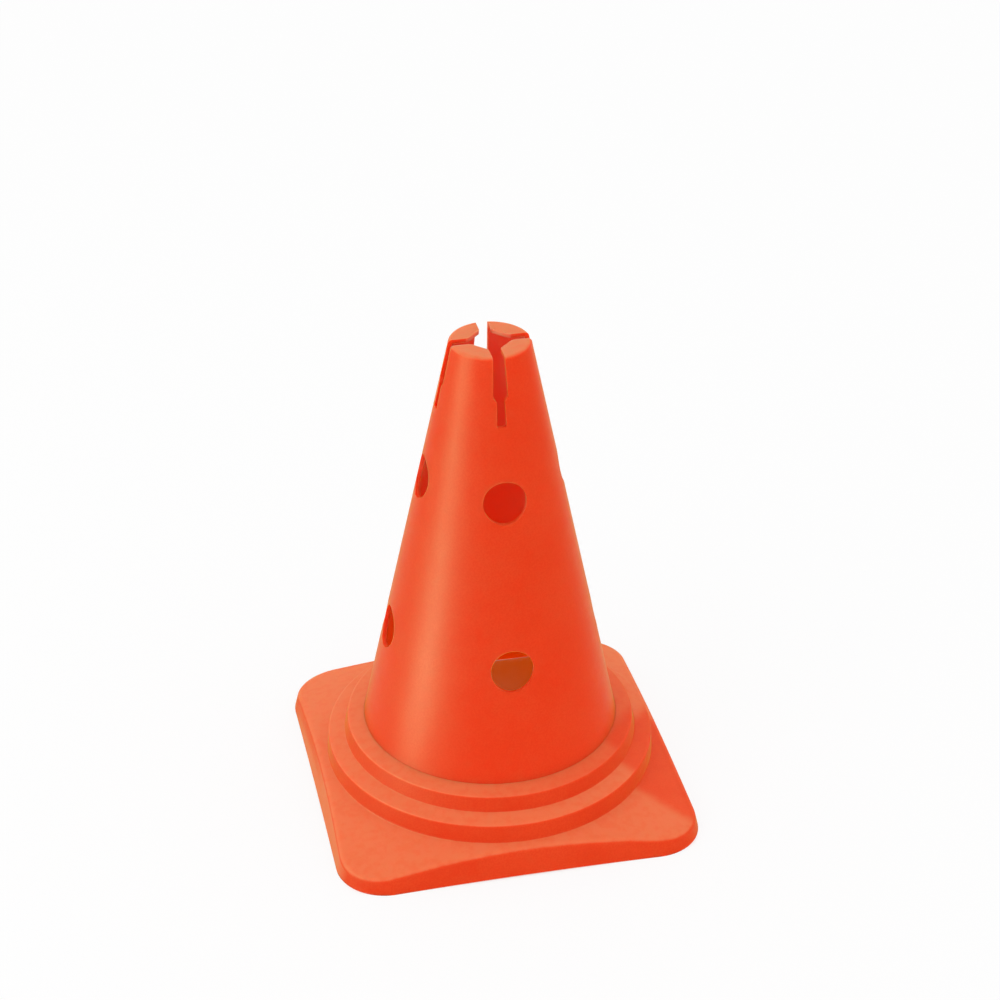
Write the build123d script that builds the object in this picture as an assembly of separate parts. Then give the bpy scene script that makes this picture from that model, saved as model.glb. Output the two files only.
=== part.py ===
from build123d import *
from math import atan, cos, hypot, radians, sqrt
import os

# Sports marker cone in two plastic mouldings: a hollow slotted cone and the stepped square base it snaps into.
# Millimetres. Z is up, the origin is the centre of the base on the floor, X and Y run square to the base's sides.

# Overall sizes
TOTAL_HEIGHT = 300.0
WALL = 2.6

# Cone, measured on its outside
CONE_TOP_RADIUS = 23.5
CONE_FOOT_RADIUS = 77.7
TOP_EDGE_ROUNDING = 2.5
LIP_THICKNESS = 2.4
LIP_OPENING = 22.0
JAW_TIP_ROUNDING = 3.0

# Four slots that split the cone's head, wide at first and then a narrow slit
SLOT_MOUTH_WIDTH = 7.0
SLOT_FOOT_WIDTH = 8.7
SLOT_DEPTH = 22.8
SLOT_SHOULDER = 2.8
SLIT_MOUTH_WIDTH = 4.8
SLIT_FOOT_WIDTH = 5.8
SLIT_DEPTH = 14.7
SLIT_FOOT_ROUNDING = 1.4

# Pole holes, one row near the head and one near the foot, on all four sides
POLE_DIAMETER = 25.0
POLE_CLEARANCE = 0.3
UPPER_POLE_HEIGHT = 215.4
LOWER_POLE_HEIGHT = 113.6

# Stepped collar of the base, from the cone outwards and downwards
COLLAR_HEIGHT = 44.4
UPPER_TREAD = (10.3, 2.1)
UPPER_RISER = (1.9, 9.7)
LOWER_TREAD = (10.4, 2.3)
LOWER_RISER = (0.6, 11.9)
NOSE_ROUNDING = 1.6
STEP_FOOT_ROUNDING = 1.2

# Square skirt of the base
SIDE_LAND = 10.1
CORNER_RADIUS = 30.0
CORNER_HEIGHT = 8.4
SKIRT_LEAN = 13.5
SKIRT_EDGE_ROUNDING = 3.5
INNER_EDGE_ROUNDING = 0.9
SIDE_RELIEF = 1.0

# Snap joint between the cone's flange and the base
SEAT_CLEARANCE = 0.15
FLANGE_CLEARANCE = 0.15
FLANGE_THICKNESS = 2.4
FLANGE_EDGE_GAP = 0.6
BEAD_CATCH = 1.3
BEAD_HEIGHT = 3.2
BEAD_ARC = 30.0
KEY_WIDTH = 5.0
KEY_DEPTH = 3.0
KEY_CLEARANCE = 0.2

# How far cutting tools run past the faces they cut, and how far added features sink into their wall
OVERCUT = 5.0
ROOT = 0.8
SIDES = 4


def outward(start, step):
    """Next corner of the stepped profile: out by the first number, down by the second."""
    return (start[0] + step[0], start[1] - step[1])


def corner_chain():
    """Corners of the collar's outside, from the cone's foot to the foot of the lower riser."""
    chain = [(CONE_FOOT_RADIUS, COLLAR_HEIGHT)]
    for step in (UPPER_TREAD, UPPER_RISER, LOWER_TREAD, LOWER_RISER):
        chain.append(outward(chain[-1], step))
    return chain


CHAIN = corner_chain()
COLLAR_FOOT = CHAIN[-1]
BASE_HALF = COLLAR_FOOT[0] + SIDE_LAND
CORNER_REACH = (BASE_HALF - CORNER_RADIUS) * sqrt(2) + CORNER_RADIUS
TOP_SLOPE = (COLLAR_FOOT[1] - CORNER_HEIGHT) / (CORNER_REACH - COLLAR_FOOT[0])
BASE_OUTER = CHAIN + [(CORNER_REACH + OVERCUT, CORNER_HEIGHT - TOP_SLOPE * OVERCUT)]

CONE_TAPER = (CONE_FOOT_RADIUS - CONE_TOP_RADIUS) / (TOTAL_HEIGHT - COLLAR_HEIGHT)
CONE_WALL_ACROSS = WALL / cos(atan(CONE_TAPER))


def cone_radius(height):
    """Outer radius of the cone at a height."""
    return CONE_TOP_RADIUS + CONE_TAPER * (TOTAL_HEIGHT - height)


def crossing(first, second):
    """Point where two lines cross, each given by two points."""
    (ax, ay), (bx, by) = first
    (cx, cy), (dx, dy) = second
    across = (bx - ax) * (dy - cy) - (by - ay) * (dx - cx)
    share = ((cx - ax) * (dy - cy) - (cy - ay) * (dx - cx)) / across
    return (ax + share * (bx - ax), ay + share * (by - ay))


def sunk(points, depth):
    """The same broken line, moved by a depth towards the inside of the base."""
    moved = []
    for (ax, ay), (bx, by) in zip(points, points[1:]):
        length = hypot(bx - ax, by - ay)
        aside = (depth * (by - ay) / length, -depth * (bx - ax) / length)
        moved.append(((ax + aside[0], ay + aside[1]), (bx + aside[0], by + aside[1])))
    inner = [crossing(left, right) for left, right in zip(moved, moved[1:])]
    return [moved[0][0]] + inner + [moved[-1][1]]


def height_on(line, radius):
    """Height of a line through two points, at a radius."""
    (ax, ay), (bx, by) = line
    return ay + (by - ay) * (radius - ax) / (bx - ax)


def radius_on(line, height):
    """Radius of a line through two points, at a height."""
    (ax, ay), (bx, by) = line
    return ax + (bx - ax) * (height - ay) / (by - ay)


def turned(points):
    """Solid of revolution about Z from corners given as radius and height."""
    return revolve(Plane.XZ * make_face(Polyline(*points, close=True)), Axis.Z)


# Lines of the snap joint, in radius and height
TREAD_UNDERSIDE = sunk(CHAIN, WALL)[:2]
RISER_INSIDE = sunk(CHAIN, WALL)[1:3]
FLANGE_TOP = sunk(CHAIN, WALL + FLANGE_CLEARANCE)[:2]
FLANGE_FOOT = sunk(CHAIN, WALL + FLANGE_CLEARANCE + FLANGE_THICKNESS)[:2]
FLANGE_RADIUS = TREAD_UNDERSIDE[1][0] - FLANGE_EDGE_GAP
BEAD_TOP = height_on(FLANGE_FOOT, FLANGE_RADIUS) - FLANGE_CLEARANCE


def skirt_block(inset):
    """Rounded square block with leaning sides, moved inwards all round by an inset."""
    half = BASE_HALF - inset / cos(radians(SKIRT_LEAN))
    plan = RectangleRounded(2 * half, 2 * half, CORNER_RADIUS - inset)
    return extrude(plan, COLLAR_HEIGHT + OVERCUT, taper=SKIRT_LEAN)


def top_block(inset):
    """Solid of revolution under the collar's steps and the sloping top of the base, sunk by an inset."""
    line = sunk(BASE_OUTER, inset)
    corners = [(0, -OVERCUT), (0, line[0][1])] + line + [(line[-1][0], -OVERCUT)]
    profile = make_face(Polyline(*corners, close=True))
    noses = [profile.vertices().sort_by_distance((*line[place], 0))[0] for place in (1, 3)]
    profile = fillet(noses, NOSE_ROUNDING)
    feet = [profile.vertices().sort_by_distance((*line[place], 0))[0] for place in (2, 4)]
    profile = fillet(feet, STEP_FOOT_ROUNDING)
    return revolve(Plane.XZ * profile, Axis.Z)


def base_form(inset, rounding):
    """Whole outside form of the base, or its inside form when an inset is given."""
    block = skirt_block(inset) & top_block(inset)
    brow = [edge for edge in block.edges() if edge.bounding_box().min.Z > CORNER_HEIGHT / 2 - inset
            and edge.bounding_box().max.Z < COLLAR_FOOT[1] - inset
            and hypot(edge.center().X, edge.center().Y) > COLLAR_FOOT[0]]
    return fillet(brow, rounding)


def cone_stem(spread):
    """Solid cone that follows the cone's outside, larger by a spread, through the height of the base."""
    low = -OVERCUT
    high = COLLAR_HEIGHT + OVERCUT
    return turned([(0, low), (cone_radius(low) + spread, low), (cone_radius(high) + spread, high), (0, high)])


def side_relief():
    """Shallow arches under the four sides, so that the base stands on its corners and doesn't rock."""
    reach = BASE_HALF - CORNER_RADIUS
    arch = ThreePointArc((-reach, 0), (0, SIDE_RELIEF), (reach, 0))
    below = Polyline((reach, 0), (reach, -OVERCUT), (-reach, -OVERCUT), (-reach, 0))
    tunnel = extrude(Plane.XZ * make_face(arch + below), BASE_HALF + OVERCUT, both=True)
    return tunnel + Rot(0, 0, 90) * tunnel


def beads():
    """Four snap beads inside the upper riser, on the diagonals, under the cone's flange."""
    foot = BEAD_TOP - BEAD_HEIGHT
    corners = [(radius_on(RISER_INSIDE, BEAD_TOP) + ROOT, BEAD_TOP), (FLANGE_RADIUS - BEAD_CATCH, BEAD_TOP),
               (radius_on(RISER_INSIDE, foot) + ROOT, foot)]
    profile = Plane.XZ * make_face(Polyline(*corners, close=True))
    bead = Rot(0, 0, -BEAD_ARC / 2) * revolve(profile, Axis.Z, BEAD_ARC)
    return [Rot(0, 0, (side + 0.5) * 360 / SIDES) * bead for side in range(SIDES)]


def key_block(side_room, end_room):
    """Block in the middle of the +X side, as long as a key, widened by a room at its sides and its inner end."""
    inner = FLANGE_RADIUS - KEY_DEPTH - end_room
    return Pos(inner, 0, BEAD_TOP) * Box(
        UPPER_TREAD[0], KEY_WIDTH + 2 * side_room, COLLAR_HEIGHT,
        align=(Align.MIN, Align.CENTER, Align.MIN))


def make_base():
    outside = base_form(0, SKIRT_EDGE_ROUNDING)
    base = outside - base_form(WALL, INNER_EDGE_ROUNDING) - cone_stem(SEAT_CLEARANCE) - side_relief()
    for bead in beads():
        base += bead
    for side in range(SIDES):
        base += Rot(0, 0, side * 360 / SIDES) * (key_block(0, 0) & outside)
    return base


def slot_cutter():
    """Prism along Y that cuts a pair of opposite head slots."""
    mouth = TOTAL_HEIGHT + OVERCUT
    slot_foot = TOTAL_HEIGHT - SLOT_DEPTH
    slit_mouth = slot_foot - SLOT_SHOULDER
    slit_foot = slit_mouth - SLIT_DEPTH
    halves = [(SLOT_MOUTH_WIDTH / 2, mouth), (SLOT_MOUTH_WIDTH / 2, TOTAL_HEIGHT), (SLOT_FOOT_WIDTH / 2, slot_foot),
              (SLIT_MOUTH_WIDTH / 2, slit_mouth), (SLIT_FOOT_WIDTH / 2, slit_foot)]
    corners = halves + [(-across, height) for across, height in reversed(halves)]
    plan = make_face(Polyline(*corners, close=True))
    plan = fillet(plan.vertices().group_by(Axis.Y)[0], SLIT_FOOT_ROUNDING)
    return extrude(Plane.XZ * plan, CONE_FOOT_RADIUS, both=True)


def make_cone():
    lip_foot = TOTAL_HEIGHT - LIP_THICKNESS
    outside = [(cone_radius(0), 0), (CONE_TOP_RADIUS, TOTAL_HEIGHT)]
    inside = [(radius - CONE_WALL_ACROSS, height) for radius, height in outside]
    corners = [crossing(FLANGE_FOOT, inside), (FLANGE_RADIUS, height_on(FLANGE_FOOT, FLANGE_RADIUS)),
               (FLANGE_RADIUS, height_on(FLANGE_TOP, FLANGE_RADIUS)), crossing(FLANGE_TOP, outside),
               (CONE_TOP_RADIUS, TOTAL_HEIGHT), (0, TOTAL_HEIGHT), (0, lip_foot),
               (radius_on(inside, lip_foot), lip_foot)]
    profile = make_face(Polyline(*corners, close=True))
    rim = profile.vertices().sort_by_distance((CONE_TOP_RADIUS, TOTAL_HEIGHT, 0))[0]
    cone = revolve(Plane.XZ * fillet(rim, TOP_EDGE_ROUNDING), Axis.Z)
    cone -= Pos(0, 0, TOTAL_HEIGHT) * Rot(0, 0, 45) * Box(LIP_OPENING, LIP_OPENING, 2 * LIP_THICKNESS + OVERCUT)
    pole_hole = Cylinder(POLE_DIAMETER / 2 + POLE_CLEARANCE, 2 * CONE_FOOT_RADIUS, rotation=(90, 0, 0))
    pair = slot_cutter()
    for height in (UPPER_POLE_HEIGHT, LOWER_POLE_HEIGHT):
        pair += Pos(0, 0, height) * pole_hole
    for turn in (0, 90):
        cone -= Rot(0, 0, turn) * pair
    for side in range(SIDES):
        cone -= Rot(0, 0, side * 360 / SIDES) * key_block(KEY_CLEARANCE, KEY_CLEARANCE)
    tips = [edge for edge in cone.edges() if edge.bounding_box().min.Z > lip_foot - ROOT
            and edge.bounding_box().size.Z > LIP_THICKNESS / 2
            and hypot(edge.center().X, edge.center().Y) < LIP_OPENING / sqrt(2)]
    return fillet(tips, JAW_TIP_ROUNDING)


os.makedirs("parts", exist_ok=True)
export_step(make_cone(), "parts/cone_body.step")
export_step(make_base(), "parts/square_base.step")
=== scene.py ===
import math

import bpy
from mathutils import Matrix, Vector

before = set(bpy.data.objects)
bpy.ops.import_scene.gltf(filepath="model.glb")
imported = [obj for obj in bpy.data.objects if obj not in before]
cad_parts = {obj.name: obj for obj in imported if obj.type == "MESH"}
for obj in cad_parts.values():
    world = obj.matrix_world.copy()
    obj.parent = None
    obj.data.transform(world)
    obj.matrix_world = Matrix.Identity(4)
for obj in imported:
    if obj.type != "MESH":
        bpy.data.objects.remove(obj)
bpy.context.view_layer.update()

# Camera, fitted to the photograph's outlines: metres, degrees, and pixels of its 1000 by 1000 frame
PHOTO_PIXELS = 1000
FOCAL_PIXELS = 2411.1
OPTICAL_AXIS_X = 489.8
SENSOR_MM = 36.0
CAMERA_AZIMUTH = -12.508
CAMERA_ELEVATION = 31.197
CAMERA_ROLL = 0.038
CAMERA_DISTANCE = 1.41665
AIM_HEIGHT = 0.19376
CLIP_NEAR, CLIP_FAR = 0.01, 100

# Plastic colours, linear. Of each three, the first two make the clouds and the last the grain
CONE_COLOURS = ((0.94, 0.053, 0.011, 1), (0.95, 0.065, 0.015, 1), (0.895, 0.040, 0.007, 1))
BASE_COLOURS = ((0.78, 0.060, 0.013, 1), (0.80, 0.073, 0.017, 1), (0.74, 0.046, 0.009, 1))
# Painted light: a paler orange for faces turned to the light, standing in for the light and gloss that fall on
# them
PAINTED_LIGHT_COLOUR = (0.81, 0.190, 0.076, 1)
# Painted light: lighter colours on the inward faces, standing in for light let through the thin walls
CONE_INSIDE_LIT = (1.0, 0.19, 0.105, 1)
BASE_INSIDE_LIT = (0.95, 0.24, 0.07, 1)

# Surface of the plastic: noises as scale and detail, height of the grain in metres, gloss, and how far light gets
GRAIN_NOISE = (900.0, 4.0)
MOTTLE_NOISE = (210.0, 3.0)
CLOUD_NOISE = (34.0, 3.0)
GRAIN_HEIGHT = 0.0004
GLOSS_TINT = (0.35, 1.0, 0.5, 1)
SHEEN_WEIGHT = 0.28
SHEEN_ROUGHNESS = 0.3
SHEEN_TINT = (0.3, 1.0, 0.08, 1)
LIGHT_REACH = (1.0, 0.25, 0.18)

# Direction of the light that is painted on as a paler colour, and the height on the cone above which it is painted
PAINTED_LIGHT_DIR = (-0.17, -0.05, 0.984)
PAINTED_LIGHT_RAGGEDNESS = 0.12
HEAD_HEIGHT = 0.290

# The cone's painted shadow on the base, a fan on the far side of the cone: where it starts, its soft edge, what it
# leaves of the painted light
SHADOW_FAN_APEX = (0.0573, -0.0468)
SHADOW_FAN_EDGE = 0.007
SHADOW_FAN_RAGGEDNESS = 0.010
SHADOW_FAN_LEFTOVER = 0.18

# The upper tread, with the cone's painted shade towards the right: its heights, and the reach and strength of the
# shade along X
TREAD_HEIGHTS = (0.038, 0.041)
TREAD_PAINTED_SHADE = (-0.07, 0.06, 0.0, 0.46)

# The skirt's left wall, with light painted on in front and, behind, below a band of painted shade that follows the
# sloping upper edge
LIT_WALL_X = -0.1035
LIT_WALL_FACING = (-0.85, -0.97, 0.0, 0.70)
LIT_WALL_FRONT = (0.025, -0.025)
LIT_WALL_REAR = (0.090, 0.065)
TOP_SLOPE = 0.229
SHADE_BAND_EDGE = (0.0375, 0.0315)

# Stage: a pale floor, with a red patch for the light that comes through the cone on to the floor inside it
FLOOR_HALF = 6.0
FLOOR_COLOUR = (0.88, 0.88, 0.88, 1)
FLOOR_GLOW = 0.85
FOOTPRINT = (0.1083, 0.1115)
FOOTPRINT_SQUARENESS = 10.0
UNDER_GLOW = (0.088, 0.034, 0.0, 1)
UNDER_LIFT = 4.0
WHITE = (1, 1, 1, 1)

# Lights: place, aim, size in metres and power in watts. The strips show only in gloss
KEY_BOX = ((-1.1, -0.6, 1.2), (0, 0, 0.1), (0.9, 0.9), 3)
WALL_STRIP = ((-1.47, -0.29, 0.55), (0, 0, 0.15), (0.2, 1.1), 60)
FLOOR_STRIP = ((-0.46, -0.12, 0.003), (-0.46, -0.12, 1), (0.45, 0.08), 7.5)
FLOOR_STRIP_TURN = 10.3
STRIP_COLOUR = (1.0, 0.95, 0.75)


def camera_axes():
    """Right, up and backward directions of the camera."""
    azimuth = math.radians(CAMERA_AZIMUTH)
    elevation = math.radians(CAMERA_ELEVATION)
    roll = math.radians(CAMERA_ROLL)
    back = Vector((math.sin(azimuth) * math.cos(elevation),
                   -math.cos(azimuth) * math.cos(elevation),
                   math.sin(elevation)))
    level = Vector((math.cos(azimuth), math.sin(azimuth), 0))
    upright = back.cross(level)
    right = math.cos(roll) * level + math.sin(roll) * upright
    up = math.cos(roll) * upright - math.sin(roll) * level
    return right, up, back


def make_camera():
    right, up, back = camera_axes()
    data = bpy.data.cameras.new("photo_camera")
    data.sensor_width = SENSOR_MM
    data.lens = FOCAL_PIXELS / PHOTO_PIXELS * SENSOR_MM
    data.shift_x = 0.5 - OPTICAL_AXIS_X / PHOTO_PIXELS
    data.clip_start = CLIP_NEAR
    data.clip_end = CLIP_FAR
    camera = bpy.data.objects.new("photo_camera", data)
    bpy.context.scene.collection.objects.link(camera)
    place = Vector((0, 0, AIM_HEIGHT)) + CAMERA_DISTANCE * back
    turn = Matrix((right, up, back)).transposed().to_4x4()
    camera.matrix_world = Matrix.Translation(place) @ turn
    bpy.context.scene.camera = camera


class Nodes:
    """Short way to add and join shader nodes in one material or world."""

    def __init__(self, owner):
        owner.use_nodes = True
        self.tree = owner.node_tree
        self.tree.nodes.clear()

    def put(self, socket, value):
        if isinstance(value, bpy.types.NodeSocket):
            self.tree.links.new(value, socket)
        else:
            socket.default_value = value

    def add(self, kind, inputs=(), **settings):
        node = self.tree.nodes.new(kind)
        for name, value in settings.items():
            setattr(node, name, value)
        for name, value in dict(inputs).items():
            self.put(node.inputs[name], value)
        return node

    def math(self, operation, *values):
        node = self.add("ShaderNodeMath", operation=operation)
        for socket, value in zip(node.inputs, values):
            self.put(socket, value)
        return node.outputs["Value"]

    def times(self, first, second):
        return self.math("MULTIPLY", first, second)

    def vector(self, operation, output, *values):
        node = self.add("ShaderNodeVectorMath", operation=operation)
        for socket, value in zip(node.inputs, values):
            self.put(socket, value)
        return node.outputs[output]

    def split(self, vector):
        node = self.add("ShaderNodeSeparateXYZ", {"Vector": vector})
        return [node.outputs[axis] for axis in "XYZ"]

    def noise(self, place, scale, detail):
        node = self.add("ShaderNodeTexNoise", {"Vector": place, "Scale": scale, "Detail": detail})
        return node.outputs["Fac"]

    def rise(self, value, start, end, low=0.0, high=1.0):
        """Smooth step of a value between two limits."""
        node = self.add("ShaderNodeMapRange", {"Value": value, "From Min": start, "From Max": end,
                                               "To Min": low, "To Max": high},
                        interpolation_type="SMOOTHSTEP")
        return node.outputs["Result"]

    def mix(self, factor, first, second):
        node = self.add("ShaderNodeMix", data_type="RGBA")
        for name, value in ((0, factor), (6, first), (7, second)):
            self.put(node.inputs[name], value)
        return node.outputs[2]


def base_painted_light(nodes, painted_light, place, level, facing, ragged):
    """Painted light on the base: less under the cone's painted shadow and under the painted shade on the upper
    tread, more on the skirt's left wall.
    """
    x, y, z = nodes.split(place)
    # Painted shadow of the cone: a fan that takes most of the painted light away
    along = nodes.math("SUBTRACT", x, SHADOW_FAN_APEX[0])
    aside = nodes.math("ABSOLUTE", nodes.math("SUBTRACT", y, SHADOW_FAN_APEX[1]))
    depth = nodes.math("ADD", nodes.math("SUBTRACT", along, aside), nodes.times(ragged, SHADOW_FAN_RAGGEDNESS))
    painted_light = nodes.times(painted_light, nodes.rise(depth, -SHADOW_FAN_EDGE, SHADOW_FAN_EDGE, 1.0, SHADOW_FAN_LEFTOVER))

    # Painted shade of the cone on the upper tread, growing towards the right
    shade = nodes.times(nodes.rise(z, *TREAD_HEIGHTS), nodes.rise(x, *TREAD_PAINTED_SHADE))
    painted_light = nodes.times(painted_light, nodes.math("SUBTRACT", 1.0, shade))

    # Painted light on the skirt's left wall: lighter in front, and behind below a band of painted shade under the
    # sloping upper edge
    leftward = nodes.split(facing)[0]
    slope_height = nodes.math("MULTIPLY_ADD", nodes.vector("LENGTH", "Value", level), TOP_SLOPE, z)
    wall = nodes.math("MAXIMUM", nodes.rise(slope_height, *SHADE_BAND_EDGE), nodes.rise(y, *LIT_WALL_FRONT))
    wall = nodes.times(wall, nodes.rise(leftward, *LIT_WALL_FACING))
    wall = nodes.times(wall, nodes.rise(y, *LIT_WALL_REAR))
    wall = nodes.times(wall, nodes.math("LESS_THAN", x, LIT_WALL_X))
    return nodes.math("MAXIMUM", painted_light, wall)


def plastic(name, colours, inside, grain_depth, roughness, shine, glow_depth, painted_light_range, is_base):
    """Orange-red moulded polyethylene, with light painted on as a paler colour where it faces the light, and a
    lighter painted colour on the inside that stands in for light let through the walls.
    """
    material = bpy.data.materials.new(name)
    nodes = Nodes(material)
    place = nodes.add("ShaderNodeTexCoord").outputs["Object"]
    facing = nodes.add("ShaderNodeNewGeometry").outputs["Normal"]
    grain = nodes.noise(place, *GRAIN_NOISE)
    mottle = nodes.noise(place, *MOTTLE_NOISE)
    cloud = nodes.noise(place, *CLOUD_NOISE)

    level = nodes.vector("MULTIPLY", "Vector", place, (1, 1, 0))
    ragged = nodes.math("SUBTRACT", mottle, 0.5)
    # Painted light: faces turned towards this direction get the paler colour, with ragged edges
    lightward = nodes.math("ADD", nodes.vector("DOT_PRODUCT", "Value", facing, PAINTED_LIGHT_DIR),
                         nodes.times(ragged, PAINTED_LIGHT_RAGGEDNESS))
    painted_light = nodes.times(nodes.rise(lightward, *painted_light_range), nodes.rise(mottle, 0.30, 0.60, 0.80, 1.0))
    # On the cone the painted light is kept above the head height
    lowest = 0.0 if is_base else HEAD_HEIGHT
    painted_light = nodes.times(painted_light, nodes.math("GREATER_THAN", nodes.split(place)[2], lowest))
    if is_base:
        painted_light = base_painted_light(nodes, painted_light, place, level, facing, ragged)

    # Painted light: inward faces get a lighter colour, standing in for light let through the thin walls
    spoke = nodes.vector("NORMALIZE", "Vector", level)
    outward = nodes.vector("DOT_PRODUCT", "Value", spoke, facing)
    inward_painted_light = nodes.rise(outward, -0.15, -0.55)

    colour = nodes.mix(nodes.rise(cloud, 0.35, 0.65), *colours[:2])
    colour = nodes.mix(nodes.rise(mottle, 0.40, 0.70, 0.0, 0.6), colour, colours[1])
    colour = nodes.mix(nodes.rise(grain, 0.38, 0.62, 0.0, 0.45), colour, colours[2])
    # Painted light: the paler colour laid over the plastic where the light is painted on
    colour = nodes.mix(painted_light, colour, PAINTED_LIGHT_COLOUR)
    # Painted light: the lighter inside colour laid on the inward faces
    colour = nodes.mix(inward_painted_light, colour, inside)

    bump = nodes.add("ShaderNodeBump", {"Height": grain, "Strength": grain_depth, "Distance": GRAIN_HEIGHT})
    shader = nodes.add("ShaderNodeBsdfPrincipled", {
        "Base Color": colour, "Roughness": nodes.rise(mottle, 0.3, 0.7, *roughness),
        "Normal": bump.outputs["Normal"], "Subsurface Weight": 1.0,
        "Subsurface Radius": LIGHT_REACH, "Subsurface Scale": glow_depth,
        "Specular IOR Level": shine, "Specular Tint": GLOSS_TINT,
        "Sheen Weight": SHEEN_WEIGHT, "Sheen Roughness": SHEEN_ROUGHNESS, "Sheen Tint": SHEEN_TINT})
    nodes.add("ShaderNodeOutputMaterial", {"Surface": shader.outputs["BSDF"]})
    return material


def dress(node, material):
    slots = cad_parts[node].data.materials
    slots.clear()
    slots.append(material)


def floor_material():
    """Pale paper that the camera and gloss see as white, with a glowing red patch inside the base's footprint:
    painted light for the light that comes through the cone.
    """
    material = bpy.data.materials.new("floor_paper")
    nodes = Nodes(material)
    x, y, _ = nodes.split(nodes.add("ShaderNodeTexCoord").outputs["Object"])
    powers = [nodes.math("POWER", nodes.math("ABSOLUTE", side), FOOTPRINT_SQUARENESS) for side in (x, y)]
    reach = nodes.math("POWER", nodes.math("ADD", *powers), 1 / FOOTPRINT_SQUARENESS)
    open_floor = nodes.rise(reach, *FOOTPRINT)

    path = nodes.add("ShaderNodeLightPath")
    seen = nodes.math("MAXIMUM", path.outputs["Is Camera Ray"], path.outputs["Is Glossy Ray"])
    seen = nodes.math("MAXIMUM", seen, path.outputs["Is Transmission Ray"])
    diffuse = nodes.add("ShaderNodeBsdfDiffuse", {"Color": FLOOR_COLOUR})
    white = nodes.add("ShaderNodeEmission", {"Color": WHITE, "Strength": 1.0})
    outside = nodes.add("ShaderNodeMixShader", {0: nodes.times(seen, FLOOR_GLOW), 1: diffuse.outputs["BSDF"],
                                                2: white.outputs["Emission"]})

    # Painted light: the patch glows red, more strongly for the light it casts than for the camera
    lift = nodes.math("MULTIPLY_ADD", path.outputs["Is Camera Ray"], 1 - UNDER_LIFT, UNDER_LIFT)
    red = nodes.add("ShaderNodeEmission", {"Color": UNDER_GLOW, "Strength": lift})
    under = nodes.add("ShaderNodeAddShader", {0: diffuse.outputs["BSDF"], 1: red.outputs["Emission"]})
    surface = nodes.add("ShaderNodeMixShader", {0: open_floor, 1: under.outputs["Shader"],
                                                2: outside.outputs["Shader"]})
    nodes.add("ShaderNodeOutputMaterial", {"Surface": surface.outputs["Shader"]})
    return material


def make_floor():
    mesh = bpy.data.meshes.new("floor")
    half = FLOOR_HALF
    mesh.from_pydata([(-half, -half, 0), (half, -half, 0), (half, half, 0), (-half, half, 0)], [], [(0, 1, 2, 3)])
    floor = bpy.data.objects.new("floor", mesh)
    bpy.context.scene.collection.objects.link(floor)
    mesh.materials.append(floor_material())


def area_light(name, place, aim, size, power):
    data = bpy.data.lights.new(name, "AREA")
    data.shape = "RECTANGLE"
    data.size, data.size_y = size
    data.energy = power
    light = bpy.data.objects.new(name, data)
    bpy.context.scene.collection.objects.link(light)
    light.location = place
    light.rotation_euler = (Vector(aim) - Vector(place)).to_track_quat("-Z", "Y").to_euler()
    return light


def make_lights():
    area_light("key_box", *KEY_BOX)
    wall_strip = area_light("wall_strip", *WALL_STRIP)
    floor_strip = area_light("floor_strip", *FLOOR_STRIP)
    floor_strip.rotation_euler = (math.pi, 0, math.radians(FLOOR_STRIP_TURN))
    for strip in (wall_strip, floor_strip):
        strip.visible_diffuse = False
        strip.visible_camera = False
        strip.data.color = STRIP_COLOUR
    world = bpy.data.worlds.new("studio")
    bpy.context.scene.world = world
    nodes = Nodes(world)
    white = nodes.add("ShaderNodeBackground", {"Color": WHITE, "Strength": 1.0})
    nodes.add("ShaderNodeOutputWorld", {"Surface": white.outputs["Background"]})


make_camera()
# The last range of each plastic sets where light is painted on as a paler colour
dress("cone_body", plastic("cone_plastic", CONE_COLOURS, CONE_INSIDE_LIT, grain_depth=0.10, roughness=(0.46, 0.52),
                           shine=0.15, glow_depth=0.012, painted_light_range=(0.45, 0.95), is_base=False))
dress("square_base", plastic("base_plastic", BASE_COLOURS, BASE_INSIDE_LIT, grain_depth=0.18, roughness=(0.54, 0.62),
                             shine=0.13, glow_depth=0.003, painted_light_range=(0.55, 0.85), is_base=True))
make_floor()
make_lights()
bpy.context.scene.view_settings.view_transform = "Standard"
